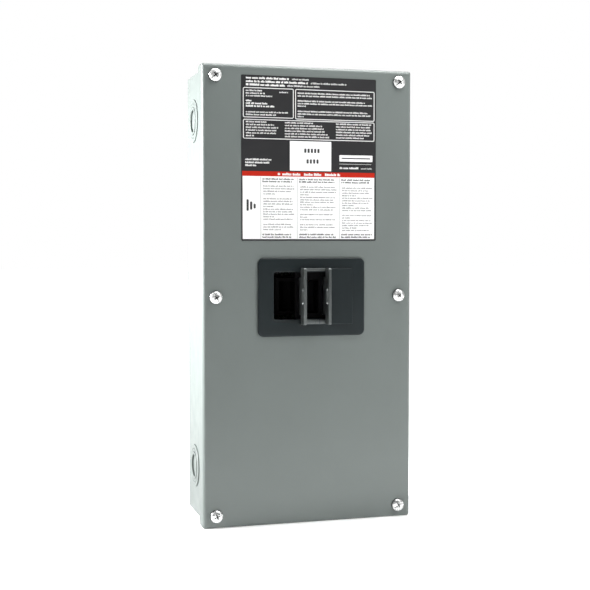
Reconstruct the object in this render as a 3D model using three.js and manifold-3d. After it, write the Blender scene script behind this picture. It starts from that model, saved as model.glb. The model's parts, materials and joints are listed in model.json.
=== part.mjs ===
// Surface-mount enclosure for one two-pole main breaker, with a screwed-on cover and a sliding operator.
// Millimetres. +Z is up, the cover faces -Y, and the origin is under the middle of the enclosure.
// Inside the group y is counted from the cover's front face, and grows towards the wall.
import * as THREE from "three";
import { mergeVertices } from "three/addons/utils/BufferGeometryUtils.js";
import Module from "manifold-3d";

const wasm = await Module();
wasm.setup();

// ---- Driving dimensions ----------------------------------------------------------------------
const GAP = 0.3; // between pieces that rest on each other
const STEEL = 1.5; // sheet thickness of box and cover
const COVER = { width: 219.1, height: 460.5, flange: 18.1, bend: 3.8 };
const DEPTH = 98.4; // cover front to the back of the box
const BOX = { half: 105.05, bottom: 3, top: 457.5, lip: 16 };
const FIN_REACH = 17; // how far the operator's fins stand in front of the cover
const SCREW = { x: 96, heights: [448.7, 230.5, 12.4], head: 6.5, rise: 4.2, shank: 2.4, length: 13 };
const LABEL = { x: [-70, 71], z: [286.7, 450.3], thick: 0.3 };
const FRAME = { x: [-53.6, 58.4], z: [190.5, 269.4], corner: 6, thick: 2.2 };
const OPENING = { x: [-37.3, 22.5], z: [207.7, 255.2], corner: 2 };
const NECK = { wall: 1.8, back: 4 };
const SLIDE = { x: [-10.3, 45.3], z: [202.4, 259.2], thick: 1.5 };
const YOKE = { fins: [-10.3, 15.4], fin: 3.1, z: [202.6, 259.5], window: [207.4, 256.3] };
const PADLOCK = { behind: 4.6, radius: 3.4, straight: 4.8 }; // slot in both fins, from their front edge
const TAB = { z: [212, 250], back: 6.3 };
const RETAINER = { x: [-13.5, 22.4], z: [200, 261], lug: 7, lugZ: [216, 244], reach: 19.5 };
const KNOCKOUT = { depth: 63.2, heights: [409.8, 52.7], radii: [22, 14.2, 11.1], rises: [1.1, 1.7] };
const HANGER = { x: 72, keyhole: 404, head: 5, neck: 2.6, neckTop: 413, hole: 3, holeZ: 45 };
const PAN = { half: 91.6, height: 108, front: 88, thick: 1.5, foot: 6, corner: 4, screw: 10 };
const PAN_SCREW = { head: 4.5, rise: 2.6, shank: 2, hole: 2.3 };
const POLE_PITCH = 19;
const BREAKER = { x: -8.5, z: 230, half: 45, height: 19.05, collar: 22, front: 26, split: 60, back: 87.7 };
const TOGGLE = { pivot: 48, tip: 37.7, width: 15, angle: THREE.MathUtils.degToRad(22), hub: 12, pin: 2 };
const CONTACT = { x: BREAKER.x - 12.6, depth: 66, bar: 4, reach: 23, half: 3.5, button: 3 };
const STRAP = { front: 78, back: 80.5, half: 5, run: 82, away: [-58.6, -80.6], inner: -31.6, button: -34.6 };
const LUG = { wide: 16, tall: 20, front: 62, wire: 5.5, screw: 4, driver: 2 };
const BAR = { pitch: 13, half: 6, screws: 4, wire: 2.6, screw: 3 };
const NEUTRAL = { x: [60, 76], middle: 68, z: [258, 318], base: 76.3, front: 64 };
const GROUND = { x: -80, z: 90, front: 84.6 };

// ---- Solids ----------------------------------------------------------------------------------
// A closed three.js geometry as a solid that can be joined and cut.
function solid(geometry) {
  geometry.deleteAttribute("normal");
  geometry.deleteAttribute("uv");
  const merged = mergeVertices(geometry, 1e-4);
  return new wasm.Manifold(
    new wasm.Mesh({
      numProp: 3,
      vertProperties: new Float32Array(merged.attributes.position.array),
      triVerts: new Uint32Array(merged.index.array),
    }),
  );
}

const FAR = 999;
const THROUGH = [-FAR, FAR];
const join = (...solids) => solids.reduce((a, b) => a.add(b));
const cut = (body, ...holes) => holes.reduce((a, b) => a.subtract(b), body);
const ordered = (a, b) => (a < b ? [a, b] : [b, a]);
const inset = ([a, b], by) => [a + by, b - by];

function box([x0, x1], [y0, y1], [z0, z1]) {
  const g = new THREE.BoxGeometry(x1 - x0, y1 - y0, z1 - z0);
  return solid(g.translate((x0 + x1) / 2, (y0 + y1) / 2, (z0 + z1) / 2));
}

// A cylinder about X, Y or Z, from one place to another along that axis.
function rod(axis, radius, [from, to], [a, b], sides = 24) {
  const g = new THREE.CylinderGeometry(radius, radius, to - from, sides);
  const middle = (from + to) / 2;
  if (axis === "x") return solid(g.rotateZ(Math.PI / 2).translate(middle, a, b));
  if (axis === "y") return solid(g.translate(a, middle, b));
  return solid(g.rotateX(Math.PI / 2).translate(a, b, middle));
}

// A rectangle with round corners, seen from the front: x to the right, z up.
function rectangle([x0, x1], [z0, z1], r) {
  const s = new THREE.Shape();
  s.moveTo(x0 + r, z0);
  s.absarc(x1 - r, z0 + r, r, -Math.PI / 2, 0);
  s.absarc(x1 - r, z1 - r, r, 0, Math.PI / 2);
  s.absarc(x0 + r, z1 - r, r, Math.PI / 2, Math.PI);
  s.absarc(x0 + r, z0 + r, r, Math.PI, 1.5 * Math.PI);
  return s;
}

// An outline seen from the front, made solid between two depths. A bevel rounds its front edge outwards.
function plate(outline, [front, back], bevel = 0, curveSegments = 4) {
  const g = new THREE.ExtrudeGeometry(outline, {
    depth: back - front,
    curveSegments,
    bevelEnabled: bevel > 0,
    bevelThickness: bevel,
    bevelSize: bevel,
    bevelSegments: 3,
  });
  const body = solid(g.rotateX(Math.PI / 2).translate(0, back + bevel, 0));
  return bevel > 0 ? cut(body, box(THROUGH, [back, FAR], THROUGH)) : body;
}

// A round piece about Y, from a profile of [radius, y] points that starts and ends on the axis.
function turned(profile, x, z, sides = 20) {
  const points = profile.map(([r, y]) => new THREE.Vector2(r, y));
  return solid(new THREE.LatheGeometry(points, sides).translate(x, 0, z));
}

const group = new THREE.Group();
group.position.y = FIN_REACH - (DEPTH + FIN_REACH) / 2;

function piece(name, body, look) {
  const { vertProperties, triVerts } = body.getMesh();
  const g = new THREE.BufferGeometry();
  g.setAttribute("position", new THREE.BufferAttribute(vertProperties, 3));
  g.setIndex(new THREE.BufferAttribute(triVerts, 1));
  g.computeVertexNormals();
  const mesh = new THREE.Mesh(g, new THREE.MeshStandardMaterial(look));
  mesh.name = name;
  group.add(mesh);
}

const ENAMEL = { color: 0x7a817d, roughness: 0.45, metalness: 0.1 };
const BLACK = { color: 0x2f3234, roughness: 0.5, metalness: 0 };
const BARE = { color: 0x8d918f, roughness: 0.4, metalness: 0.8 };
const ZINC = { color: 0xd8d9d6, roughness: 0.25, metalness: 1 };
const MOULDED = { color: 0x141414, roughness: 0.55, metalness: 0 };
const COPPER = { color: 0xb87348, roughness: 0.35, metalness: 1 };
const TIN = { color: 0xb9bcbc, roughness: 0.35, metalness: 1 };
const PRINT = { color: 0x4b4b4b, roughness: 0.4, metalness: 0 };

// ---- Box -------------------------------------------------------------------------------------
// Concentric knockouts pressed out of a wall in two steps, round a disc that stays level with it. Turned
// about Y with the wall's outer face at y = 0, then laid against the wall by `place`.
function knockout(place) {
  const [outer, middle, inner] = KNOCKOUT.radii;
  const [low, high] = KNOCKOUT.rises;
  const rim = 1.5; // where the pressing meets the wall
  const profile = [
    [0, 0],
    [inner, 0],
    [inner, -high],
    [middle, -high],
    [middle, -low],
    [outer, -low],
    [outer, STEEL],
    [outer - rim, STEEL],
    [outer - rim, STEEL - low],
    [inner + rim, STEEL - low],
    [inner + rim, STEEL],
    [0, STEEL],
  ];
  const points = profile.map(([r, y]) => new THREE.Vector2(r, y));
  const pressing = new THREE.LatheGeometry(points, 24);
  const hole = new THREE.CylinderGeometry(outer - rim / 2, outer - rim / 2, 4 * STEEL, 24);
  return [pressing, hole].map((g) => solid(g.applyMatrix4(place)));
}

function makeBox() {
  const { half, bottom, top, lip } = BOX;
  const front = STEEL + GAP;
  let body = cut(
    box([-half, half], [front, DEPTH], [bottom, top]),
    box([STEEL - half, half - STEEL], [front + STEEL, DEPTH - STEEL], [bottom + STEEL, top - STEEL]),
    box([lip - half, half - lip], [0, front + 2 * STEEL], [bottom + lip, top - lip]),
  );
  const right = Math.PI / 2;
  const places = [
    new THREE.Matrix4().makeRotationX(right).setPosition(0, KNOCKOUT.depth, bottom),
    new THREE.Matrix4().makeRotationX(-right).setPosition(0, KNOCKOUT.depth, top),
  ];
  for (const z of KNOCKOUT.heights) {
    places.push(new THREE.Matrix4().makeRotationZ(-right).setPosition(-half, KNOCKOUT.depth, z));
    places.push(new THREE.Matrix4().makeRotationZ(right).setPosition(half, KNOCKOUT.depth, z));
  }
  for (const [pressing, hole] of places.map(knockout)) body = join(cut(body, hole), pressing);
  for (const side of [-1, 1]) {
    for (const z of SCREW.heights) {
      body = cut(body, rod("y", SCREW.shank + 0.4, [0, 9], [side * SCREW.x, z], 16));
    }
    const wall = [DEPTH - 2 * STEEL, DEPTH + 1];
    const x = side * HANGER.x;
    const neck = [x - HANGER.neck, x + HANGER.neck];
    body = cut(body, rod("y", HANGER.head, wall, [x, HANGER.keyhole]));
    body = cut(body, box(neck, wall, [HANGER.keyhole, HANGER.neckTop]));
    body = cut(body, rod("y", HANGER.hole, wall, [x, HANGER.holeZ]));
  }
  piece("enclosure_box", body, ENAMEL);
}

// ---- Cover and what is fixed to it -----------------------------------------------------------
function makeCover() {
  const { width, height, flange, bend } = COVER;
  const flat = rectangle([bend - width / 2, width / 2 - bend], [bend, height - bend], 0.4);
  const skin = (radius, front, back) => plate(flat, [front, back], radius, 2);
  let body = cut(skin(bend, 0, flange), skin(bend - STEEL, STEEL, flange + 5));
  for (const x of [-SCREW.x, SCREW.x]) {
    for (const z of SCREW.heights) body = cut(body, rod("y", SCREW.shank + 0.6, [-1, 3], [x, z], 16));
  }
  const room = NECK.wall + GAP;
  const [x0, x1] = OPENING.x;
  const [z0, z1] = OPENING.z;
  const hole = rectangle([x0 - room, x1 + room], [z0 - room, z1 + room], OPENING.corner + room);
  piece("cover", cut(body, plate(hole, [-1, 3])), ENAMEL);
}

function makeLabel() {
  const outline = rectangle(LABEL.x, LABEL.z, 1);
  piece("cover_label", plate(outline, [-GAP - LABEL.thick, -GAP]), PRINT);
}

function makeEscutcheon() {
  const [x0, x1] = OPENING.x;
  const [z0, z1] = OPENING.z;
  const soft = 1;
  const face = rectangle(
    [FRAME.x[0] + soft, FRAME.x[1] - soft],
    [FRAME.z[0] + soft, FRAME.z[1] - soft],
    FRAME.corner - soft,
  );
  const w = NECK.wall;
  const neck = rectangle([x0 - w, x1 + w], [z0 - w, z1 + w], OPENING.corner + w);
  const opening = rectangle(OPENING.x, OPENING.z, OPENING.corner);
  const body = join(plate(face, [-GAP - FRAME.thick, -GAP], soft), plate(neck, [-GAP - 0.5, NECK.back]));
  piece("escutcheon", cut(body, plate(opening, [-FAR, FAR])), BLACK);
}

// Round-headed screw with a combined slot and cross recess.
function makeCoverScrews() {
  const { head, rise, shank, length } = SCREW;
  const profile = [[0, -GAP - rise]];
  const steps = 5;
  for (let i = 1; i <= steps; i++) {
    const a = (i / steps) * (Math.PI / 2);
    profile.push([head * Math.sin(a), -GAP - 0.8 - (rise - 0.8) * Math.cos(a)]);
  }
  profile.push([head, -GAP], [shank, -GAP], [shank, length], [0, length]);
  let number = 0;
  for (const z of SCREW.heights) {
    for (const x of [-SCREW.x, SCREW.x]) {
      number += 1;
      const front = [-GAP - rise - 1, -GAP - rise + 1.6];
      const slot = box([x - head, x + head], front, [z - 0.6, z + 0.6]);
      const cross = box([x - 0.6, x + 0.6], front, [z - 3.4, z + 3.4]);
      piece(`cover_screw_${number}`, cut(turned(profile, x, z), slot, cross), ZINC);
    }
  }
}

// ---- Sliding operator ------------------------------------------------------------------------
const SHUTTER_BACK = -GAP - FRAME.thick - GAP;
const SHUTTER_FRONT = SHUTTER_BACK - SLIDE.thick;
const RETAINER_FRONT = NECK.back + 0.5;
const SLIDE_CENTRE = (YOKE.fins[0] + YOKE.fins[1] + YOKE.fin) / 2;

function makeShutter() {
  const body = plate(rectangle(SLIDE.x, SLIDE.z, 1), [SHUTTER_FRONT, SHUTTER_BACK]);
  const right = YOKE.fins[1] + YOKE.fin + GAP;
  piece("shutter_plate", cut(body, box([-FAR, right], THROUGH, YOKE.window)), BLACK);
}

// A slot with round ends through both fins, for a padlock's shackle.
function padlockSlot(z) {
  const { behind, radius, straight } = PADLOCK;
  const middle = behind - FIN_REACH;
  return join(
    rod("x", radius, THROUGH, [middle, z + straight], 16),
    rod("x", radius, THROUGH, [middle, z - straight], 16),
    box(THROUGH, [middle - radius, middle + radius], [z - straight, z + straight]),
  );
}

function makeYoke() {
  const back = SHUTTER_FRONT - GAP;
  const [left, right] = YOKE.fins;
  const { z } = YOKE;
  const window = box([left + YOKE.fin, right], THROUGH, YOKE.window);
  let body = cut(box([left, right + YOKE.fin], [back - SLIDE.thick, back], z), window);
  for (const x of YOKE.fins) {
    body = join(
      body,
      box([x, x + YOKE.fin], [-FIN_REACH, back], z),
      box([x, x + YOKE.fin], [back - 1, TAB.back], TAB.z),
    );
  }
  piece("operator_yoke", cut(body, padlockSlot((z[0] + z[1]) / 2)), BARE);
}

// The plate behind the cover that holds the slide in place, with two lugs that push the breaker's toggle.
function makeRetainer() {
  const back = RETAINER_FRONT + SLIDE.thick;
  let body = box(RETAINER.x, [RETAINER_FRONT, back], RETAINER.z);
  const window = [SLIDE_CENTRE - RETAINER.lug, SLIDE_CENTRE + RETAINER.lug];
  body = cut(body, box(window, THROUGH, inset(RETAINER.lugZ, -3)));
  for (const x of YOKE.fins) {
    body = cut(body, box([x - GAP, x + YOKE.fin + GAP], THROUGH, inset(TAB.z, -GAP)));
  }
  for (const side of [-1, 1]) {
    const ends = [SLIDE_CENTRE + side * RETAINER.lug, SLIDE_CENTRE + side * (RETAINER.lug + SLIDE.thick)];
    body = join(body, box(ordered(...ends), [RETAINER_FRONT, RETAINER.reach], RETAINER.lugZ));
  }
  piece("slide_retainer", body, MOULDED);
}

// ---- Breaker ---------------------------------------------------------------------------------
const BREAKER_X = [BREAKER.x - BREAKER.half, BREAKER.x + BREAKER.half];
const BREAKER_Z = [BREAKER.z - BREAKER.height, BREAKER.z + BREAKER.height];
const POLES = [BREAKER.z + POLE_PITCH / 2, BREAKER.z - POLE_PITCH / 2];
const WALL = 2.6; // of the moulded case

function makeBreakerCase() {
  const slot = { half: 17.2, back: 40, play: 0.6 };
  const slotX = [BREAKER.x - slot.half, BREAKER.x + slot.half];
  const slotZ = [BREAKER.z - TOGGLE.width - slot.play, BREAKER.z + TOGGLE.width + slot.play];
  const collarX = [BREAKER.x - 21, BREAKER.x + 21];
  const collar = box(collarX, [BREAKER.collar, BREAKER.front + 1], inset(BREAKER_Z, 0.8));
  const cap = box(BREAKER_X, [BREAKER.front, BREAKER.split - GAP], BREAKER_Z);
  const room = box(inset(BREAKER_X, WALL), [BREAKER.front + WALL, FAR], inset(BREAKER_Z, WALL));
  const pinHoles = rod("z", TOGGLE.pin + GAP, inset(BREAKER_Z, 1), [BREAKER.x, TOGGLE.pivot]);
  const body = cut(join(cap, collar), room, box(slotX, [0, slot.back], slotZ), pinHoles);
  piece("breaker_case", body, MOULDED);
}

function makeBreakerBase() {
  const floor = 3.5;
  let body = box(BREAKER_X, [BREAKER.split, BREAKER.back], BREAKER_Z);
  const room = box(inset(BREAKER_X, WALL), [0, BREAKER.back - floor], inset(BREAKER_Z, WALL));
  body = cut(body, room);
  const between = [BREAKER.z - 0.8, BREAKER.z + 0.8];
  const barrierX = [BREAKER_X[0] + 1, CONTACT.x - 12];
  body = join(body, box(barrierX, [BREAKER.split + 2, BREAKER.back - 3], between));
  for (const z of POLES) {
    const slotZ = [z - STRAP.half - GAP, z + STRAP.half + GAP];
    body = cut(body, box(THROUGH, [STRAP.front - GAP, STRAP.back + GAP], slotZ));
  }
  piece("breaker_base", body, MOULDED);
}

// The toggle leans towards +X at rest. Its hub closes the slot from behind.
function makeToggle() {
  const { pivot, tip, angle, hub, width, pin } = TOGGLE;
  const [root, side, crown, corner] = [6, 4.5, 2.5, 2];
  const stem = new THREE.Shape();
  stem.moveTo(-root, 0);
  stem.lineTo(-side, corner - tip);
  stem.quadraticCurveTo(-side, -tip, -crown, -tip);
  stem.lineTo(crown, -tip);
  stem.quadraticCurveTo(side, -tip, side, corner - tip);
  stem.lineTo(root, 0);
  const g = new THREE.ExtrudeGeometry(stem, { depth: 2 * width, bevelEnabled: false, curveSegments: 4 });
  g.rotateZ(angle).translate(BREAKER.x, pivot, BREAKER.z - width);
  const span = [BREAKER.z - width, BREAKER.z + width];
  const body = join(solid(g), rod("z", hub, span, [BREAKER.x, pivot], 32));
  piece("toggle", cut(body, rod("z", pin + GAP, THROUGH, [BREAKER.x, pivot])), MOULDED);
  piece("toggle_pin", rod("z", pin, inset(BREAKER_Z, 1.3), [BREAKER.x, pivot], 16), ZINC);
}

// Moving contacts: one arm for each pole on a shared bar, open at rest.
function makeContacts() {
  const { x, depth, bar, reach, half, button } = CONTACT;
  const [hub, thick, rise] = [2.5, 1.5, 3.5];
  piece("crossbar", rod("z", bar, inset(BREAKER_Z, WALL + 0.4), [x, depth]), MOULDED);
  POLES.forEach((z, i) => {
    const span = [z - half, z + half];
    const arm = join(
      rod("z", bar + hub, span, [x, depth]),
      box([x - reach - button, x], [depth - thick, depth + thick], span),
      rod("y", button, [depth, depth + rise], [x - reach + 1, z], 16),
    );
    piece(`contact_arm_${i + 1}`, cut(arm, rod("z", bar + GAP, THROUGH, [x, depth])), COPPER);
  });
}

// ---- Conductors ------------------------------------------------------------------------------
// The line side runs to the left and up. The load side is the same, turned half a turn about the breaker.
function makeSide(side, turn) {
  const { front, back, half, run, away, inner, button } = STRAP;
  const xs = (a, b) => ordered(BREAKER.x + turn * a, BREAKER.x + turn * b);
  const zs = (a, b) => ordered(BREAKER.z + turn * a, BREAKER.z + turn * b);
  const wide = LUG.wide / 2;
  away.forEach((at, pole) => {
    const level = (pole === 0 ? 1 : -1) * (POLE_PITCH / 2);
    const contact = [BREAKER.x + turn * button, BREAKER.z + turn * level];
    const strap = join(
      box(xs(inner, at - half), [front, back], zs(level - half, level + half)),
      box(xs(at - half, at + half), [front, back], zs(level - half, run)),
      rod("y", CONTACT.button, [front - 2, front + 1], contact, 16),
    );
    piece(`${side}_strap_${pole + 1}`, strap, COPPER);

    const top = run - 2;
    const middle = (LUG.front + front - GAP) / 2;
    const x = BREAKER.x + turn * at;
    const screwPlace = [x, BREAKER.z + turn * (run - 12)];
    const block = box(xs(at - wide, at + wide), [LUG.front, front - GAP], zs(top - LUG.tall, top));
    const screwHole = rod("y", LUG.screw + GAP, [0, middle], screwPlace, 16);
    const lug = cut(block, rod("z", LUG.wire, THROUGH, [x, middle - 0.4]), screwHole);
    piece(`${side}_lug_${pole + 1}`, lug, TIN);
    const screw = rod("y", LUG.screw, [LUG.front - 3, LUG.front + 3.2], screwPlace, 16);
    const socket = rod("y", LUG.driver, [0, LUG.front - 0.5], screwPlace, 6);
    piece(`${side}_lug_screw_${pole + 1}`, cut(screw, socket), ZINC);
  });
  const margin = wide + 1.1;
  const blockX = xs(away[0] + margin, away[1] - margin);
  piece(`${side}_block`, box(blockX, [back + GAP, PAN.front - GAP], zs(run - 24, run + 2)), MOULDED);
}

// A terminal bar with a wire hole across it and a screw over each hole. It runs up (z) or sideways (x).
function makeBar(name, axis, [front, back], start, across) {
  const { pitch, half, screws, wire, screw } = BAR;
  const middle = (front + back) / 2 + 1.5;
  const run = [start, start + screws * pitch];
  const side = [across - half, across + half];
  const upright = axis === "z";
  let bar = upright ? box(side, [front, back], run) : box(run, [front, back], side);
  for (let i = 0; i < screws; i++) {
    const at = start + pitch * (i + 0.5);
    const place = upright ? [across, at] : [at, across];
    const wireHole = rod(upright ? "x" : "z", wire, THROUGH, upright ? [middle, at] : [at, middle], 16);
    bar = cut(bar, wireHole, rod("y", screw + GAP, [0, middle], place, 16));
    const slotX = [place[0] - screw, place[0] + screw];
    const slot = box(slotX, [0, front - 1], [place[1] - 0.5, place[1] + 0.5]);
    piece(`${name}_screw_${i + 1}`, cut(rod("y", screw, [front - 2.5, front + 3], place, 16), slot), ZINC);
  }
  piece(`${name}_bar`, bar, TIN);
}

// ---- Mounting pan ----------------------------------------------------------------------------
function makePan() {
  const { half, height, front, thick, foot, corner, screw } = PAN;
  const { head, rise, shank, hole } = PAN_SCREW;
  const xs = [BREAKER.x - half, BREAKER.x + half];
  const zs = [BREAKER.z - height, BREAKER.z + height];
  const top = front - GAP;
  const tip = DEPTH - STEEL - GAP;
  const slotDepth = 1.4;
  const profile = [
    [0, top - rise],
    [head - 1.5, top - rise + 0.2],
    [head, top - 1],
    [head, top],
    [shank, top],
    [shank, tip],
    [0, tip],
  ];
  let body = plate(rectangle(xs, zs, corner), [front, front + thick]);
  let number = 0;
  for (const x of inset(xs, screw)) {
    for (const z of inset(zs, screw)) {
      number += 1;
      body = join(body, rod("y", foot, [front, tip], [x, z], 16));
      body = cut(body, rod("y", hole, [0, FAR], [x, z], 16));
      const slot = box([x - head, x + head], [0, top - slotDepth], [z - 0.5, z + 0.5]);
      piece(`pan_screw_${number}`, cut(turned(profile, x, z, 16), slot), ZINC);
    }
  }
  piece("mounting_pan", body, ZINC);
}

makeBox();
makeCover();
makeLabel();
makeEscutcheon();
makeCoverScrews();
makeShutter();
makeYoke();
makeRetainer();
makePan();
makeBreakerCase();
makeBreakerBase();
makeToggle();
makeContacts();
makeSide("line", 1);
makeSide("load", -1);
piece("neutral_base", box(NEUTRAL.x, [NEUTRAL.base, PAN.front - GAP], NEUTRAL.z), MOULDED);
makeBar("neutral", "z", [NEUTRAL.front, NEUTRAL.base - GAP], NEUTRAL.z[0] + 4, NEUTRAL.middle);
makeBar("ground", "x", [GROUND.front, DEPTH - STEEL - GAP], GROUND.x, GROUND.z);

export default group;
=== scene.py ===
import json
import math
import random

import bmesh
import bpy
from mathutils import Matrix, Vector


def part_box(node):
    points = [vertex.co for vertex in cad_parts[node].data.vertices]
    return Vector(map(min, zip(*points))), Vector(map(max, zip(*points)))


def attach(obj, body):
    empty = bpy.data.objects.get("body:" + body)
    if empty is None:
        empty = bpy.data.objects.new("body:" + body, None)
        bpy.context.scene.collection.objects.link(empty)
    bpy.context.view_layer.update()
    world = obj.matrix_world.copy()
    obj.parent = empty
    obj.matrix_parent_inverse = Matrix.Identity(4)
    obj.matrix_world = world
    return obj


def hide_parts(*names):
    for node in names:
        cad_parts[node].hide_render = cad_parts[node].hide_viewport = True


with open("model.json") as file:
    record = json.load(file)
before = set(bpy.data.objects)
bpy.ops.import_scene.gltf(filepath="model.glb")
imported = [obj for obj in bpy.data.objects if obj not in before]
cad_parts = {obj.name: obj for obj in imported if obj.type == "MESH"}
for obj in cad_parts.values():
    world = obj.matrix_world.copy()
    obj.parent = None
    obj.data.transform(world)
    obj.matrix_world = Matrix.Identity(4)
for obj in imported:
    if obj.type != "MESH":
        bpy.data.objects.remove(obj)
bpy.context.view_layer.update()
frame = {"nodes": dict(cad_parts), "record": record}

# Shapes are written in millimetres as (x, depth, z): depth is counted from the cover's front face
# towards the wall.
MM = 0.001
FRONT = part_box("cover")[0].y
TO_FRAME = Matrix.Translation((0, FRONT, 0)) @ Matrix.Diagonal((MM, MM, MM, 1))


def node_span(node):
    """A CAD node's box as ((x0, x1), (depth0, depth1), (z0, z1)) in millimetres."""
    lo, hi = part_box(node)
    return tuple(((lo[k] - shift) / MM, (hi[k] - shift) / MM) for k, shift in enumerate((0, FRONT, 0)))


COVER_X, COVER_D, COVER_Z = node_span("cover")
BOX_D = node_span("enclosure_box")[1]
FRAME_X, FRAME_D, FRAME_Z = node_span("escutcheon")
LABEL_X, _, LABEL_Z = node_span("cover_label")
SHUTTER_X, SHUTTER_D, SHUTTER_Z = node_span("shutter_plate")
YOKE_D, YOKE_Z = node_span("operator_yoke")[1:]

STEEL = 1.5  # thickness of the sheet steel
COVER_BEND, COVER_CORNER = 3.8, 2.2
BOX_HALF, BOX_Z = 105.05, (3, 457.5)  # the box's walls, without its raised knockouts
BOX_BEND, BOX_CORNER = 2.4, 1.6
LIP = 16
SCREW_X = 96
SCREW_HEIGHTS = (448.7, 230.5, 12.4)
SCREW_HEAD, SCREW_RISE, SCREW_SHANK, SCREW_END = 6.5, 4.2, 2.4, 13
OPENING_X, OPENING_Z = (-37.3, 22.5), (207.7, 255.2)
NECK_WALL, NECK_BACK, NECK_CORNER = 1.8, 4, 3.8
FIN_LEFT, FIN_RIGHT, FIN_THICK = -10.3, 15.4, 3.1
YOKE_WINDOW_Z = (207.4, 256.3)
TAB_Z = (212, 250)
PADLOCK_BEHIND, PADLOCK_RADIUS, PADLOCK_STRAIGHT = 4.6, 3.4, 4.8
KNOCKOUT_DEPTH, KNOCKOUT_HEIGHTS, KNOCKOUT_RADIUS = 63.2, (409.8, 52.7), 22
GAP = 0.3  # between a moving piece and its neighbour
REST = 0.02  # what lies on the cover ends this far in front of it


# ---- Camera, floor and light -------------------------------------------------------------------
def make_camera():
    """A 70 mm view from the left of the cover and a little above its middle, looking slightly down."""
    data = bpy.data.cameras.new("camera")
    data.lens, data.sensor_width = 70.35, 36
    camera = bpy.data.objects.new("camera", data)
    bpy.context.scene.collection.objects.link(camera)
    turn, down, roll = math.radians(15.96), math.radians(2.57), math.radians(-0.02)
    aim = Vector((math.sin(turn) * math.cos(down), math.cos(turn) * math.cos(down), -math.sin(down)))
    camera.rotation_mode = "QUATERNION"
    camera.rotation_quaternion = aim.to_track_quat("-Z", "Y") @ Matrix.Rotation(roll, 3, "Z").to_quaternion()
    camera.location = (-0.3335, FRONT - 1.1143, 0.2842)
    bpy.context.scene.camera = camera


def aim_light(name, data, place, target):
    light = bpy.data.objects.new(name, data)
    bpy.context.scene.collection.objects.link(light)
    light.visible_camera = False
    light.location = place
    light.rotation_mode = "QUATERNION"
    light.rotation_quaternion = (Vector(target) - Vector(place)).to_track_quat("-Z", "Y")


def area_light(name, place, target, size, watts):
    data = bpy.data.lights.new(name, "AREA")
    data.shape, data.size, data.size_y = "RECTANGLE", size[0], size[1]
    data.energy = watts
    aim_light(name, data, place, target)


def spot_light(name, place, target, degrees, watts):
    data = bpy.data.lights.new(name, "SPOT")
    data.energy = watts
    data.spot_size = math.radians(degrees)
    data.spot_blend = 0.8
    data.shadow_soft_size = 0.15
    aim_light(name, data, place, target)


def make_world(scene, strength):
    """Plain white behind the object, and a dimmer light on it that grows to strength towards the wall."""
    world = bpy.data.worlds.new("studio")
    world.use_nodes = True
    tree = world.node_tree
    seen = tree.nodes["Background"]
    seen.inputs["Color"].default_value = (1, 1, 1, 1)
    light = tree.nodes.new("ShaderNodeBackground")
    light.inputs["Color"].default_value = (1, 1, 1, 1)
    split = tree.nodes.new("ShaderNodeSeparateXYZ")
    tree.links.new(tree.nodes.new("ShaderNodeTexCoord").outputs["Generated"], split.inputs["Vector"])
    growth = tree.nodes.new("ShaderNodeMapRange")
    growth.inputs["To Max"].default_value = strength
    tree.links.new(split.outputs["Y"], growth.inputs["Value"])
    tree.links.new(growth.outputs["Result"], light.inputs["Strength"])
    path = tree.nodes.new("ShaderNodeLightPath")
    mix = tree.nodes.new("ShaderNodeMixShader")
    tree.links.new(path.outputs["Is Camera Ray"], mix.inputs["Fac"])
    tree.links.new(light.outputs["Background"], mix.inputs[1])
    tree.links.new(seen.outputs["Background"], mix.inputs[2])
    tree.links.new(mix.outputs["Shader"], tree.nodes["World Output"].inputs["Surface"])
    scene.world = world


def make_floor(scene):
    """A pale floor that glows a little, and more with the distance from the object."""
    bm = bmesh.new()
    bmesh.ops.create_grid(bm, x_segments=1, y_segments=1, size=12)
    me = bpy.data.meshes.new("floor")
    bm.to_mesh(me)
    bm.free()
    floor = bpy.data.objects.new("floor", me)
    scene.collection.objects.link(floor)
    paint = bpy.data.materials.new("pale_floor")
    paint.use_nodes = True
    nodes, links = paint.node_tree.nodes, paint.node_tree.links
    shader = nodes["Principled BSDF"]
    shader.inputs["Base Color"].default_value = (0.93, 0.93, 0.93, 1)
    shader.inputs["Roughness"].default_value = 0.7
    shader.inputs["Specular IOR Level"].default_value = 0.0
    shader.inputs["Emission Color"].default_value = (1, 1, 1, 1)
    away = nodes.new("ShaderNodeVectorMath")
    away.operation = "LENGTH"
    links.new(nodes.new("ShaderNodeTexCoord").outputs["Object"], away.inputs[0])
    glow = nodes.new("ShaderNodeMapRange")
    near, far, dim, bright = 0.35, 1.2, 0.36, 0.88
    for name, value in (("From Min", near), ("From Max", far), ("To Min", dim), ("To Max", bright)):
        glow.inputs[name].default_value = value
    links.new(away.outputs["Value"], glow.inputs["Value"])
    links.new(glow.outputs["Result"], shader.inputs["Emission Strength"])
    me.materials.append(paint)


def make_studio():
    scene = bpy.context.scene
    scene.view_settings.view_transform = "Standard"
    make_world(scene, 0.7)
    area_light("left", (-1.3, 0.24, 0.6), (-0.1, 0.02, 0.3), (0.6, 0.6), 25)
    spot_light("left_wall", (-1.3, 0.3, 0.7), (-0.105, 0.02, 0.285), 22.5, 330)
    area_light("front", (0.62, -0.62, 1.0), (0, -0.04, 0.22), (0.3, 0.3), 3.6)
    area_light("right", (0.42, -0.36, 0.3), (0.05, -0.04, 0.26), (0.1, 0.6), 0.5)
    area_light("above", (0.0, 0.02, 0.95), (0, 0.02, 0.4), (0.5, 0.2), 4)
    area_light("top", (0.16, -0.16, 0.85), (0, -0.04, 0.3), (0.5, 0.12), 3)
    area_light("low", (0.05, -0.24, 0.015), (0, -0.04, 0.03), (0.5, 0.03), 0.065)
    make_floor(scene)


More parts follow.
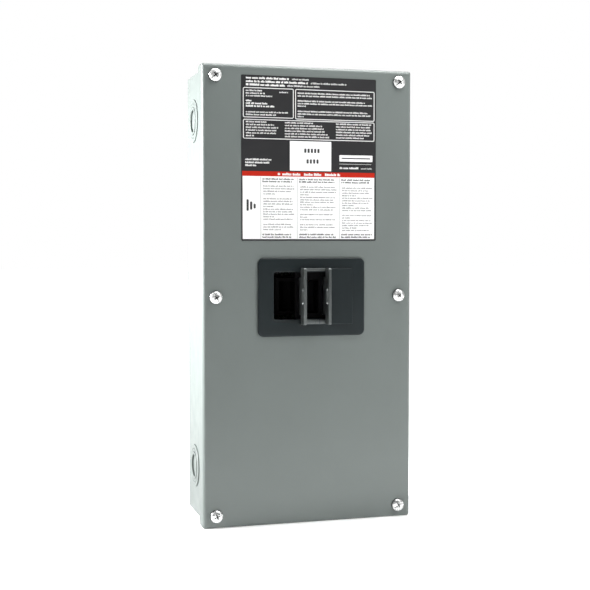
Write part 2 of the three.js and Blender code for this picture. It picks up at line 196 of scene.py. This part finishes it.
# ---- Materials ---------------------------------------------------------------------------------
class Look:
    """A procedural material. Its textures read object coordinates, which are metres in the frame."""

    def __init__(self, name, metallic=0.0, specular=0.5):
        self.material = bpy.data.materials.new(name)
        self.material.use_nodes = True
        self.tree = self.material.node_tree
        self.shader = self.tree.nodes["Principled BSDF"]
        self.shader.inputs["Metallic"].default_value = metallic
        self.shader.inputs["Specular IOR Level"].default_value = specular
        self.place = self.tree.nodes.new("ShaderNodeTexCoord").outputs["Object"]
        self.normal = None

    def link(self, source, target):
        self.tree.links.new(source, target)

    def noise(self, scale, detail=3.0, stretch=(1, 1, 1), roughness=0.5):
        mapping = self.tree.nodes.new("ShaderNodeMapping")
        mapping.inputs["Scale"].default_value = stretch
        self.link(self.place, mapping.inputs["Vector"])
        node = self.tree.nodes.new("ShaderNodeTexNoise")
        node.inputs["Scale"].default_value = scale
        node.inputs["Detail"].default_value = detail
        node.inputs["Roughness"].default_value = roughness
        self.link(mapping.outputs["Vector"], node.inputs["Vector"])
        return node.outputs["Fac"]

    def depth(self):
        """Metres along Y, which grow towards the wall."""
        split = self.tree.nodes.new("ShaderNodeSeparateXYZ")
        self.link(self.place, split.inputs["Vector"])
        return split.outputs["Y"]

    def spread(self, value, low, high, start=0.3, end=0.7):
        """Runs from low to high while value runs from start to end."""
        node = self.tree.nodes.new("ShaderNodeMapRange")
        node.inputs["From Min"].default_value, node.inputs["From Max"].default_value = start, end
        node.inputs["To Min"].default_value, node.inputs["To Max"].default_value = low, high
        self.link(value, node.inputs["Value"])
        return node.outputs["Result"]

    def ramp(self, value, stops):
        node = self.tree.nodes.new("ShaderNodeValToRGB")
        ramp = node.color_ramp
        while len(ramp.elements) < len(stops):
            ramp.elements.new(1)
        for element, (at, colour) in zip(ramp.elements, stops):
            element.position, element.color = at, (*colour, 1)
        self.link(value, node.inputs["Fac"])
        return node.outputs["Color"]

    def mix(self, factor, a, b, blend="MIX"):
        node = self.tree.nodes.new("ShaderNodeMix")
        node.data_type, node.blend_type = "RGBA", blend
        for socket, value in (("Factor", factor), ("A", a), ("B", b)):
            kind = "VALUE" if socket == "Factor" else "RGBA"
            target = next(s for s in node.inputs if s.name == socket and s.type == kind)
            if isinstance(value, bpy.types.NodeSocket):
                self.link(value, target)
            else:
                target.default_value = value if socket == "Factor" else (*value, 1)
        return next(s for s in node.outputs if s.type == "RGBA")

    def bump(self, height, strength, distance):
        node = self.tree.nodes.new("ShaderNodeBump")
        node.inputs["Strength"].default_value = strength
        node.inputs["Distance"].default_value = distance
        self.link(height, node.inputs["Height"])
        if self.normal is not None:
            self.link(self.normal, node.inputs["Normal"])
        self.normal = node.outputs["Normal"]
        self.link(self.normal, self.shader.inputs["Normal"])

    def colour(self, source):
        self.link(source, self.shader.inputs["Base Color"])

    def rough(self, source):
        self.link(source, self.shader.inputs["Roughness"])


def shades(base, spread):
    """Darker, plain and lighter stops of one colour."""
    darker = tuple(c * (1 - spread) for c in base)
    lighter = tuple(c * (1 + spread) for c in base)
    return [(0.25, darker), (0.5, base), (0.8, lighter)]


def grey_enamel():
    look = Look("grey_enamel", specular=0.42)
    tone = look.ramp(look.noise(14, 4), shades((0.154, 0.177, 0.169), 0.035))
    dust = look.spread(look.noise(2600, 2, roughness=0.8), 0, 0.16, 0.66, 0.72)
    look.colour(look.mix(dust, tone, (0.42, 0.44, 0.43)))
    look.rough(look.spread(look.noise(60, 5), 0.36, 0.46))
    look.bump(look.noise(7, 2), 0.25, 0.0004)
    look.bump(look.noise(1300, 2), 0.22, 0.00004)
    return look.material


def black_plastic():
    look = Look("black_plastic", specular=0.25)
    look.colour(look.ramp(look.noise(40, 4), shades((0.0100, 0.0155, 0.0172), 0.12)))
    look.rough(look.spread(look.noise(300, 3), 0.34, 0.46))
    look.bump(look.noise(3800, 2), 0.35, 0.00005)
    return look.material


def plated_steel():
    """Dull grey plating with upright streaks, and painted shade: it turns near-black behind the cover's
    front face, where the inside of the box lies in shade.
    """
    look = Look("plated_steel", metallic=0.6)
    streaks = look.noise(900, 4, stretch=(1, 1, 0.03))
    plate = look.ramp(streaks, shades((0.125, 0.136, 0.134), 0.14))
    plate = look.mix(look.noise(55, 4), plate, (0.10, 0.112, 0.112))
    # painted shade: past the cover's front face the plating fades to near-black, standing for the shade
    # inside the box
    painted_shade_start, painted_shade_full = FRONT + 0.0005, FRONT + 0.0025
    painted_shade_inside = look.spread(look.depth(), 0, 1, painted_shade_start, painted_shade_full)
    look.colour(look.mix(painted_shade_inside, plate, (0.006, 0.006, 0.0065)))
    look.rough(look.spread(streaks, 0.27, 0.33))
    look.bump(streaks, 0.06, 0.00003)
    return look.material


def bright_zinc(name, painted_shade_from=None):
    """Zinc plating. Past the depth given as its second argument, in metres along Y, painted shade darkens it
    over the next 0.7 mm: the floors of a screw's recesses and the rim of its head.
    """
    look = Look(name, metallic=0.68)
    stops = [(0.3, (0.80, 0.82, 0.83)), (0.5, (0.86, 0.87, 0.86)), (0.75, (0.90, 0.90, 0.88))]
    tone = look.ramp(look.noise(420, 4), stops)
    if painted_shade_from is not None:
        # painted shade: deeper than the given depth the zinc goes near-black, as shade in the recesses and
        # round the head's rim
        painted_shade_mask = look.spread(look.depth(), 0, 1, painted_shade_from, painted_shade_from + 0.0007)
        tone = look.mix(painted_shade_mask, tone, (0.05, 0.05, 0.052))
    look.colour(tone)
    look.rough(look.spread(look.noise(900, 4), 0.2, 0.32))
    look.bump(look.noise(1600, 3), 0.08, 0.00001)
    return look.material


def moulded_case():
    look = Look("moulded_case", specular=0.08)
    look.colour(look.ramp(look.noise(90, 5), shades((0.0035, 0.0035, 0.004), 0.2)))
    look.rough(look.spread(look.noise(500, 3), 0.6, 0.75))
    look.bump(look.noise(3000, 3), 0.3, 0.00004)
    return look.material


def plain_metal(name, base, low, high):
    look = Look(name, metallic=1.0)
    look.colour(look.ramp(look.noise(160, 5), shades(base, 0.12)))
    look.rough(look.spread(look.noise(700, 4, stretch=(1, 1, 0.1)), low, high))
    look.bump(look.noise(900, 3), 0.15, 0.00003)
    return look.material


def label_film():
    look = Look("label_film", specular=0.22)
    look.colour(look.ramp(look.noise(45, 4), shades((0.0275, 0.0275, 0.029), 0.07)))
    look.rough(look.spread(look.noise(250, 3), 0.34, 0.44))
    look.bump(look.noise(1500, 2), 0.12, 0.00002)
    return look.material


def ink(name, base, spread=0.05):
    look = Look(name, specular=0.2)
    look.colour(look.ramp(look.noise(900, 3), shades(base, spread)))
    look.rough(look.spread(look.noise(400, 3), 0.42, 0.55))
    look.bump(look.noise(2000, 2), 0.08, 0.00001)
    return look.material


LOOKS = {}


def make_looks():
    LOOKS.update(
        grey_enamel=grey_enamel(),
        black_plastic=black_plastic(),
        plated_steel=plated_steel(),
        zinc_plate=bright_zinc("bright_zinc"),
        # the screws' zinc carries painted shade deeper than 2.1 mm in front of the cover
        screw_zinc=bright_zinc("screw_zinc", FRONT - 0.0021),
        moulded_case=moulded_case(),
        copper=plain_metal("copper", (0.72, 0.40, 0.25), 0.28, 0.42),
        tin_plate=plain_metal("tin_plate", (0.66, 0.68, 0.68), 0.3, 0.45),
        label_print=label_film(),
        white_ink=ink("white_ink", (0.82, 0.82, 0.81)),
        paper=ink("paper", (0.94, 0.94, 0.935), 0.015),
        dark_ink=ink("dark_ink", (0.05, 0.05, 0.052)),
        grey_ink=ink("grey_ink", (0.10, 0.10, 0.104)),
        red_ink=ink("red_ink", (0.49, 0.017, 0.005)),
    )


# ---- Mesh helpers ------------------------------------------------------------------------------
def rounded(x, z, radius, steps=6):
    """Points (x, z) round a rectangle with round corners, anticlockwise from the front."""
    (x0, x1), (z0, z1) = x, z
    radius = max(radius, 0.02)
    centres = ((x1 - radius, z0 + radius, -90), (x1 - radius, z1 - radius, 0),
               (x0 + radius, z1 - radius, 90), (x0 + radius, z0 + radius, 180))
    points = []
    for cx, cz, start in centres:
        for i in range(steps + 1):
            a = math.radians(start + 90 * i / steps)
            points.append((cx + radius * math.cos(a), cz + radius * math.sin(a)))
    return points


def shrink(span, by):
    return span[0] + by, span[1] - by


def loft(bm, rings):
    """Joins rings of the same number of points into one closed skin, and closes both ends."""
    loops = [[bm.verts.new(p) for p in ring] for ring in rings]
    for a, b in zip(loops, loops[1:]):
        for i in range(len(a)):
            j = (i + 1) % len(a)
            bm.faces.new((a[i], a[j], b[j], b[i]))
    bm.faces.new(loops[0][::-1])
    bm.faces.new(loops[-1])


def block(bm, x, d, z, radius=0.0, steps=4):
    """A rectangular block whose four edges along depth may be round."""
    if radius:
        outline = rounded(x, z, radius, steps)
    else:
        outline = ((x[0], z[0]), (x[1], z[0]), (x[1], z[1]), (x[0], z[1]))
    loft(bm, [[(px, at, pz) for px, pz in outline] for at in d])


def barrel(bm, profile, x=0.0, z=0.0, sides=48):
    """A round piece about depth, from [radius, depth] points; a radius of 0 closes an end."""
    rings = []
    for radius, at in profile:
        if radius == 0:
            rings.append([bm.verts.new((x, at, z))])
        else:
            ring = []
            for i in range(sides):
                a = 2 * math.pi * i / sides
                ring.append(bm.verts.new((x + radius * math.cos(a), at, z + radius * math.sin(a))))
            rings.append(ring)
    for a, b in zip(rings, rings[1:]):
        for i in range(sides):
            j = (i + 1) % sides
            corners = [a[i % len(a)], a[j % len(a)], b[j % len(b)], b[i % len(b)]]
            kept = [v for k, v in enumerate(corners) if v not in corners[:k]]
            if len(kept) > 2:
                bm.faces.new(kept)


def to_object(name, bm, place=None):
    """The mesh as an object in the frame, in metres."""
    bmesh.ops.recalc_face_normals(bm, faces=bm.faces)
    if place is not None:
        bmesh.ops.transform(bm, matrix=place, verts=bm.verts)
    bmesh.ops.transform(bm, matrix=TO_FRAME, verts=bm.verts)
    me = bpy.data.meshes.new(name)
    bm.to_mesh(me)
    bm.free()
    ob = bpy.data.objects.new(name, me)
    bpy.context.scene.collection.objects.link(ob)
    return ob


def settle(ob):
    """Applies the modifiers of ob."""
    seen = ob.evaluated_get(bpy.context.evaluated_depsgraph_get())
    me = bpy.data.meshes.new_from_object(seen)
    ob.modifiers.clear()
    ob.data = me


def carve(ob, cutters, operation="DIFFERENCE"):
    """Cuts other meshes out of ob, or joins them to it, for good."""
    for cutter in cutters:
        step = ob.modifiers.new("carve", "BOOLEAN")
        step.operation, step.object, step.solver = operation, cutter, "EXACT"
    settle(ob)
    for cutter in cutters:
        bpy.data.objects.remove(cutter)


def soften(ob, width, segments=3, angle=30):
    """Rounds the edges of a piece by width, in millimetres."""
    step = ob.modifiers.new("edges", "BEVEL")
    step.width, step.segments = width * MM, segments
    step.limit_method, step.angle_limit = "ANGLE", math.radians(angle)
    step.use_clamp_overlap = True
    step.harden_normals = False


def shade(ob, angle=35):
    for p in ob.data.polygons:
        p.use_smooth = True
    ob.data.set_sharp_from_angle(angle=math.radians(angle))


def finish_piece(ob, body, slot, look, *nodes, angle=35):
    """Material, shading, the body that the piece rides on, and the CAD nodes that it stands for. The slot
    argument is not used.
    """
    ob.data.materials.clear()
    ob.data.materials.append(LOOKS[look])
    shade(ob, angle)
    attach(ob, body)
    if nodes:
        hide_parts(*nodes)
    return ob


# ---- Box and cover -----------------------------------------------------------------------------
def arc(radius, steps, start, end):
    """(inset, depth) pairs round a quarter bend, counted from its outer corner."""
    pairs = []
    for i in range(steps + 1):
        a = math.radians(start + (end - start) * i / steps)
        pairs.append((radius - radius * math.cos(a), radius - radius * math.sin(a)))
    return pairs


def rings_of(profile, x, z, corner, steps=3):
    """A ring for each (inset, depth): the rectangle shrunk by inset, with corners to suit."""
    rings = []
    for inset, depth in profile:
        outline = rounded(shrink(x, inset), shrink(z, inset), corner - inset, steps)
        rings.append([(px, depth, pz) for px, pz in outline])
    return rings


def make_cover():
    back = COVER_D[1]
    edge = 0.3
    profile = arc(COVER_BEND, 8, 90, 0)
    profile += [(0, back - edge), (edge, back), (STEEL - edge, back), (STEEL, back - edge)]
    profile += [(STEEL + i, STEEL + d) for i, d in arc(COVER_BEND - STEEL, 4, 0, 90)]
    bm = bmesh.new()
    loft(bm, rings_of(profile, COVER_X, COVER_Z, COVER_CORNER))
    cover = to_object("cover_shell", bm)

    bm = bmesh.new()
    room, corner, hole = NECK_WALL + GAP, 4, 3
    start, end = -1, STEEL + 1.5
    block(bm, shrink(OPENING_X, -room), (start, end), shrink(OPENING_Z, -room), corner, 6)
    for x in (-SCREW_X, SCREW_X):
        for z in SCREW_HEIGHTS:
            barrel(bm, [(0, start), (hole, start), (hole, end), (0, end)], x, z, 32)
    carve(cover, [to_object("holes", bm)])
    finish_piece(cover, "cover", "grey_enamel", "grey_enamel", "cover", angle=25)


def knockout_rings(bm):
    """Concentric pressed rings about depth 0, raised towards -depth, with slits and tie bridges between."""
    edges = (KNOCKOUT_RADIUS, 17.5, 14.2, 11.1, 0)
    slits = (0.6, 0.35, 0.6, 0.8, 0)
    rises = (1.1, 1.1, 1.7, 0)
    edge = 0.3
    for k, rise in enumerate(rises):
        outer, inner = edges[k] - slits[k] / 2, edges[k + 1] + slits[k + 1] / 2
        top, under = -rise, STEEL - rise
        profile = [(outer - edge, top), (outer, top + edge), (outer, under)]
        if inner == 0:
            profile = [(0, top), *profile, (0, under)]
        else:
            profile += [(inner, under), (inner, top + edge), (inner + edge, top), (outer - edge, top)]
        barrel(bm, profile, sides=64)
    ties = ((0, (35, 215), 0.2), (1, (120, 300), -0.3), (2, (70, 290), -0.4), (3, (100, 260), 0.5))
    tie_size = (1.2, 0.9, 2.2)
    for ring, angles, depth in ties:
        for a in map(math.radians, angles):
            tie = bmesh.ops.create_cube(bm, size=1)["verts"]
            turn = Matrix.Rotation(-a, 4, "Y")
            place = Matrix.Translation((edges[ring] * math.cos(a), depth, edges[ring] * math.sin(a)))
            bmesh.ops.transform(bm, matrix=place @ turn @ Matrix.Diagonal((*tie_size, 1)), verts=tie)


def knockout_places():
    """(name, matrix) for each knockout: the matrix carries depth 0 onto the wall's outer face."""
    def place(x, z, degrees, axis):
        return Matrix.Translation((x, KNOCKOUT_DEPTH, z)) @ Matrix.Rotation(math.radians(degrees), 4, axis)

    for level, z in zip(("upper", "lower"), KNOCKOUT_HEIGHTS):
        yield f"left_{level}", place(-BOX_HALF, z, -90, "Z")
        yield f"right_{level}", place(BOX_HALF, z, 90, "Z")
    yield "bottom", place(0, BOX_Z[0], 90, "X")
    yield "top", place(0, BOX_Z[1], -90, "X")


def make_box():
    front, back = BOX_D
    inner = BOX_BEND - STEEL
    profile = [(i, back - d) for i, d in arc(BOX_BEND, 6, 90, 0)]
    profile += [(i, front + d) for i, d in arc(BOX_BEND, 6, 0, 90)]
    profile += [(LIP, front), (LIP, front + STEEL)]
    profile += [(STEEL + i, front + STEEL + d) for i, d in arc(inner, 3, 90, 0)]
    profile += [(STEEL + i, back - STEEL - d) for i, d in arc(inner, 3, 0, 90)]
    bm = bmesh.new()
    loft(bm, rings_of(profile, (-BOX_HALF, BOX_HALF), BOX_Z, BOX_CORNER))
    shell = to_object("box_shell", bm)

    tapped, deep = 2.8, 6
    hole, hole_x, hole_z = 3, 0.75 * SCREW_X, 45
    keyhole, keyhole_z = 5, 404
    slot_half, slot_corner, slot_z = 2.6, 2.5, (405, 413.5)
    bm = bmesh.new()
    for x in (-SCREW_X, SCREW_X):
        for z in SCREW_HEIGHTS:
            barrel(bm, [(0, 0), (tapped, 0), (tapped, deep), (0, deep)], x, z, 24)
    start, end = back - 4, back + 2
    for x in (-hole_x, hole_x):
        barrel(bm, [(0, start), (hole, start), (hole, end), (0, end)], x, hole_z, 32)
        block(bm, (x - slot_half, x + slot_half), (start, end), slot_z, slot_corner, 8)
    cutters = [to_object("holes", bm)]
    bm = bmesh.new()
    start, end = back - 4.1, back + 2.1
    for x in (-hole_x, hole_x):
        barrel(bm, [(0, start), (keyhole, start), (keyhole, end), (0, end)], x, keyhole_z, 32)
    cutters.append(to_object("keyholes", bm))
    room = KNOCKOUT_RADIUS + 0.1
    for name, place in knockout_places():
        bm = bmesh.new()
        barrel(bm, [(0, -3), (room, -3), (room, 3), (0, 3)], sides=64)
        cutters.append(to_object(name, bm, place))
    carve(shell, cutters)
    finish_piece(shell, "enclosure", "grey_enamel", "grey_enamel", "enclosure_box", angle=25)
    for name, place in knockout_places():
        bm = bmesh.new()
        knockout_rings(bm)
        finish_piece(to_object(f"knockout_{name}", bm, place), "enclosure", "grey_enamel", "grey_enamel")


# ---- Operator ----------------------------------------------------------------------------------
def make_escutcheon():
    front = FRAME_D[0]
    outer_edge, outer_corner = 1.5, 6
    profile = [(i, front + d) for i, d in arc(outer_edge, 6, 90, 0)] + [(0, -REST)]
    bm = bmesh.new()
    loft(bm, rings_of(profile, FRAME_X, FRAME_Z, outer_corner, 10))
    piece = to_object("operator_frame", bm)

    bm = bmesh.new()
    neck_x, neck_z = shrink(OPENING_X, -NECK_WALL), shrink(OPENING_Z, -NECK_WALL)
    neck_front = -0.9
    block(bm, neck_x, (neck_front, NECK_BACK), neck_z, NECK_CORNER, 8)
    carve(piece, [to_object("neck", bm)], "UNION")

    bm = bmesh.new()
    edge, corner, beyond = 0.7, 2, NECK_BACK + 5
    profile = [(-edge - 1, front - 1), (-edge, front), (-edge * 0.35, front + edge * 0.35)]
    profile += [(0, front + edge), (0, beyond)]
    loft(bm, rings_of(profile, OPENING_X, OPENING_Z, corner, 8))
    carve(piece, [to_object("opening", bm)])
    finish_piece(piece, "cover", "black_plastic", "black_plastic", "escutcheon", angle=28)


def make_shutter():
    """A plate that reaches round the yoke, and to the right of it."""
    corner, edge, past = 1.2, 0.6, 99
    bm = bmesh.new()
    block(bm, SHUTTER_X, SHUTTER_D, SHUTTER_Z, corner, 5)
    piece = to_object("shutter", bm)
    bm = bmesh.new()
    block(bm, (-past, FIN_RIGHT + FIN_THICK + GAP), shrink(SHUTTER_D, -2), YOKE_WINDOW_Z)
    carve(piece, [to_object("notch", bm)])
    soften(piece, edge)
    finish_piece(piece, "handle", "black_plastic", "black_plastic", "shutter_plate")


def obround(bm, x, depth, z, radius, half_length):
    """A slot with round ends, through x, upright."""
    points, steps = [], 16
    for start, middle in ((0, z + half_length), (180, z - half_length)):
        for i in range(steps + 1):
            a = math.radians(start + 180 * i / steps)
            points.append((depth + radius * math.cos(a), middle + radius * math.sin(a)))
    loft(bm, [[(at, d, pz) for d, pz in points] for at in x])


def round_ends(span, radius):
    """(place, inset) steps along span for a solid with rounded edges at both ends."""
    turns = [math.radians(a) for a in (0, 30, 60, 90)]
    ends = [(radius * (1 - math.sin(a)), radius * (1 - math.cos(a))) for a in turns]
    return [(span[0] + up, by) for by, up in ends] + [(span[1] - up, by) for by, up in ends[::-1]]


def upright(bm, x, d, z, radius):
    """An upright bar, rounded along its four edges and softly domed at both ends."""
    rings = []
    for at, by in round_ends(z, radius):
        outline = rounded(shrink(x, by), shrink(d, by), radius - by, 5)
        rings.append([(px, pd, at) for px, pd in outline])
    loft(bm, rings)


def fin(bm, x, d, z, corner, edge):
    """An upright plate across x, with rounded edges and two round corners in front."""
    rings = []
    for at, by in round_ends(x, edge):
        outline = rounded(shrink((d[0], d[1] + corner), by), shrink(z, by), corner - by, 6)
        rings.append([(at, min(pd, d[1] - by), pz) for pd, pz in outline])
    loft(bm, rings)


def make_yoke():
    """The plated operator.

    It is a window frame with two fins that stand forward, and tabs that reach behind the cover.
    """
    front, tab_back = YOKE_D
    base = (SHUTTER_D[0] - GAP - STEEL, SHUTTER_D[0] - GAP)
    edge, within_x, within_z = 0.35, 0.4, 0.3
    bm = bmesh.new()
    block(bm, (FIN_LEFT + within_x, FIN_RIGHT + FIN_THICK - within_x), base, shrink(YOKE_Z, within_z))
    piece = to_object("yoke", bm)
    bm = bmesh.new()
    block(bm, (FIN_LEFT + FIN_THICK, FIN_RIGHT), shrink(base, -3), YOKE_WINDOW_Z)
    carve(piece, [to_object("window", bm)])
    soften(piece, edge)
    settle(piece)

    fin_corner, fin_edge, tab_edge = 2.2, 0.6, 0.4
    parts = []
    for x in (FIN_LEFT, FIN_RIGHT):
        span = (x, x + FIN_THICK)
        bm = bmesh.new()
        fin(bm, span, (front, base[1]), YOKE_Z, fin_corner, fin_edge)
        parts.append(to_object("fin", bm))
        bm = bmesh.new()
        upright(bm, span, (base[1] - STEEL, tab_back), TAB_Z, tab_edge)
        parts.append(to_object("tab", bm))
    carve(piece, parts, "UNION")

    bm = bmesh.new()
    slot_x = (FIN_LEFT - 30, FIN_RIGHT + FIN_THICK + 30)
    obround(bm, slot_x, front + PADLOCK_BEHIND, sum(YOKE_Z) / 2, PADLOCK_RADIUS, PADLOCK_STRAIGHT)
    carve(piece, [to_object("slot", bm)])
    soften(piece, 0.25, segments=2, angle=42)
    finish_piece(piece, "handle", "plated_steel", "plated_steel", "operator_yoke")


# ---- Cover screws ------------------------------------------------------------------------------
def screw_profile():
    """[radius, depth] points of a domed head and a threaded shank."""
    rim, edge = 0.8, 0.2
    groove, half_pitch, half_turns, tip = 0.35, 0.5, 22, 0.8
    profile = [(0, -REST - SCREW_RISE)]
    for i in range(1, 11):
        a = math.radians(9 * i)
        profile.append((SCREW_HEAD * math.sin(a), -REST - rim - (SCREW_RISE - rim) * math.cos(a)))
    profile += [(SCREW_HEAD, -REST - edge), (SCREW_HEAD - edge, -REST), (SCREW_SHANK, -REST)]
    profile += [(SCREW_SHANK - groove * (k % 2), 1 + half_pitch * k) for k in range(half_turns)]
    return profile + [(SCREW_SHANK - tip, SCREW_END), (0, SCREW_END)]


def make_screws():
    """Round-headed screws with a slot and cross recess, each stopped at its own angle."""
    angles = (-37, -40, 56, 38, -22, -30)
    slot, cross = (2 * SCREW_HEAD + 2, 1.1, 1.6), (1.3, 5.2, 3.7)
    top = -REST - SCREW_RISE
    places = [(x, z) for z in SCREW_HEIGHTS for x in (-SCREW_X, SCREW_X)]
    for number, ((x, z), degrees) in enumerate(zip(places, angles), 1):
        place = Matrix.Translation((x, 0, z))
        bm = bmesh.new()
        barrel(bm, screw_profile())
        screw = to_object(f"screw_{number}", bm, place)
        turn = Matrix.Rotation(math.radians(degrees), 4, "Y")
        cutters = []
        for wide, tall, deep in (slot, cross, (cross[1], cross[0], cross[2])):
            bm = bmesh.new()
            block(bm, (-wide / 2, wide / 2), (top - 1, top + deep), (-tall / 2, tall / 2))
            cutters.append(to_object("recess", bm, place @ turn))
        carve(screw, cutters)
        finish_piece(screw, "cover", "zinc_plate", "screw_zinc", f"cover_screw_{number}", angle=30)


# ---- Label -------------------------------------------------------------------------------------
FILM = 0.28  # thickness of the label's film
INK = 0.025  # thickness of one layer of print


class Print:
    """Flat print on the label, in millimetres to the right of and below its upper left corner."""

    def __init__(self, name, look, layer):
        self.name, self.look = name, look
        self.bm = bmesh.new()
        front = -FILM - INK * layer
        self.depth = (front, front + 1.2 * INK)

    def spans(self, across, down):
        x = (LABEL_X[0] + across[0], LABEL_X[0] + across[1])
        z = (LABEL_Z[1] - down[1], LABEL_Z[1] - down[0])
        return x, z

    def patch(self, across, down, radius=0.0):
        x, z = self.spans(across, down)
        block(self.bm, x, self.depth, z, radius, 4)

    def outline(self, across, down, radius, width):
        """A rounded frame of one line."""
        x, z = self.spans(across, down)
        loops = []
        for inset in (0, width):
            for d in self.depth:
                ring = rounded(shrink(x, inset), shrink(z, inset), radius - inset, 5)
                loops.append([self.bm.verts.new((px, d, pz)) for px, pz in ring])
        outer_front, outer_back, inner_front, inner_back = loops
        for a, b in ((outer_front, outer_back), (outer_back, inner_back), (inner_back, inner_front),
                     (inner_front, outer_front)):
            for i in range(len(a)):
                j = (i + 1) % len(a)
                self.bm.faces.new((a[i], a[j], b[j], b[i]))

    def line(self, across, down, height, weight=0.72):
        """A line of print: rows of small upright blocks, which stand for words and spell nothing."""
        at, end = across
        while at < end - height * 0.4:
            for _ in range(random.randint(2, 9)):
                wide = height * random.uniform(0.38, 0.72)
                if at + wide > end:
                    break
                tall = height * random.choice((0.72, 0.72, 0.72, 1.0, 1.0, 0.86))
                base = down + height / 2
                self.patch((at, at + wide * weight), (base - tall, base))
                at += wide
            at += height * 0.45

    def done(self):
        ob = to_object(self.name, self.bm)
        finish_piece(ob, "cover", "label_print", self.look)


def print_header(white):
    rows = ((2.7, 50, 71), (6.1, 69.5, 110), (9.4, 45, 81))
    for down, bold_end, end in rows:
        white.line((4.8, bold_end), down, 2.1, 0.9)
        white.line((bold_end + 2.2, end), down, 1.7, 0.6)


def print_boxes(white):
    """Three outlined boxes of small print."""
    white.outline((1.8, 53.8), (12.2, 41.8), 1.6, 0.75)
    white.outline((55.4, 139.3), (12.3, 42.4), 1.6, 0.75)
    white.outline((1.8, 139.3), (43.4, 62.7), 1.6, 0.75)
    for down, end in ((15.2, 22), (17.8, 25), (20.4, 32)):
        white.line((4.7, end), down, 1.5)
    white.line((39, 49), 16, 1.5)
    for down, end in ((25.1, 11), (27.7, 27), (30.4, 34)):
        white.line((4.7, end), down, 1.8, 0.85)
    for down, end in ((36.2, 48.6), (38.8, 36.3)):
        white.line((4.7, end), down, 1.5)
    rows = ((16.2, 135), (18.9, 137), (23.9, 129.5), (26.5, 137),
            (29.0, 67), (34.2, 132), (36.9, 135.6), (39.4, 64.5))
    for down, end in rows:
        white.line((58, end), down, 1.5)
    columns = ((4.7, (26, 34, 38, 36, 36, 13)),
               (44.7, (75, 84, 86, 87, 90, 92)),
               (98.3, (136, 135, 136, 137, 135, 129)))
    for start, ends in columns:
        for row, end in enumerate(ends):
            white.line((start, end), 45.9 + 2.74 * row, 1.5)


def print_middle(white, paper, dark):
    """The plain middle: a white sticker with two short codes, small print, and a blank name box."""
    paper.patch((49.8, 93.2), (64, 93.5), 0.4)
    for start, down, count in ((64.8, 73.4, 5), (67.2, 84, 4)):
        for i in range(count):
            left = start + 3.45 * i
            dark.patch((left, left + 2.2), (down - 2.1, down + 2.1), 0.5)
    for down, end in ((83, 31.3), (86, 28.8), (88.9, 16.2)):
        white.line((4, end), down, 1.8, 0.8)
    paper.patch((101.9, 137.3), (77, 83.5), 0.7)
    dark.patch((104.3, 134.9), (79.7, 80.8))
    white.patch((101.9, 136), (85.9, 86.2))
    white.line((101.9, 123), 90, 2.0, 0.88)
    white.line((125, 136.8), 90.3, 1.5, 0.5)


def print_notice(paper, red, white_top, dark, grey):
    """The lower panel: a red band over white, with three columns of small grey print and a plain symbol."""
    paper.patch((1.2, 139.3), (99, 161.9))
    red.patch((0.9, 139.6), (94.6, 99.5))
    white_top.patch((37.2, 39.8), (95.9, 98.3), 1.2)
    for start, end in ((42, 61), (64.5, 83), (86.5, 104)):
        white_top.line((start, end), 97.1, 2.6, 0.86)
    for u in (19.8, 57.4, 101.8):
        grey.patch((u - 0.17, u + 0.17), (100.2, 161.4))
    columns = (
        (21.4, 55.5, (109.1, 111.7, 114.3, 116.9, 121.7, 124.3, 126.9, 129.5,
                      132.1, 134.6, 137.1, 139.6, 142.1, 147.2, 149.8, 152.4)),
        (59.4, 99.8, (109.6, 112.2, 114.8, 117.4, 120.0, 122.5, 124.9, 127.4,
                      129.9, 132.4, 137.2, 139.8, 142.3, 147.4, 150.0, 152.6)),
        (103.8, 137.9, (110.2, 112.8, 115.3, 117.9, 120.4, 123.0, 125.4, 127.9,
                        130.4, 132.9, 137.9, 140.4, 143.0, 145.6, 148.1, 150.6, 153.1)),
    )
    for left, right, rows in columns:
        for down in (102.1, 104.6, 157.3, 159.9):
            dark.line((left, right - random.uniform(0, 4)), down, 1.6, 0.8)
        for row, down in enumerate(rows):
            short = right - random.uniform(0, 5) if row % 4 != 3 else left + random.uniform(8, 20)
            grey.line((left + 1, short), down, 1.35, 0.66)
    for tilt in range(3):
        across, down = 5.2 + 3.6 * tilt, 122.5 + 2.2 * tilt
        dark.patch((across, across + 2.2), (down, 134 - 1.2 * tilt), 1)


def make_label():
    """The printed film on the cover. Its print is blocks and bands only: no words, marks or symbols."""
    random.seed(4)
    bm = bmesh.new()
    block(bm, LABEL_X, (-FILM, -0.01), LABEL_Z, 1.2, 5)
    finish_piece(to_object("label_film", bm), "cover", "label_print", "label_print", "cover_label")
    white = Print("label_white", "white_ink", 1)
    paper = Print("label_paper", "paper", 1)
    red = Print("label_red", "red_ink", 1.6)
    dark = Print("label_dark", "dark_ink", 2)
    grey = Print("label_grey", "grey_ink", 2)
    white_top = Print("label_white_top", "white_ink", 2.6)
    print_header(white)
    print_boxes(white)
    print_middle(white, paper, dark)
    print_notice(paper, red, white_top, dark, grey)
    for layer in (white, paper, red, dark, grey, white_top):
        layer.done()


# ---- Kept CAD nodes ----------------------------------------------------------------------------
def dress_nodes():
    """The CAD nodes that stay get their materials, and a small rounding of their edges."""
    slots = {s["node"]: s["material_slot"] for s in frame["record"]["subparts"]}
    for name, ob in frame["nodes"].items():
        look = LOOKS[slots[name]]
        if not ob.data.materials:
            ob.data.materials.append(look)
        for i in range(len(ob.material_slots)):
            ob.material_slots[i].material = look
        if not ob.hide_render:
            soften(ob, 0.3, segments=2)


make_camera()
make_studio()
make_looks()
make_cover()
make_box()
make_escutcheon()
make_shutter()
make_yoke()
make_screws()
make_label()
dress_nodes()
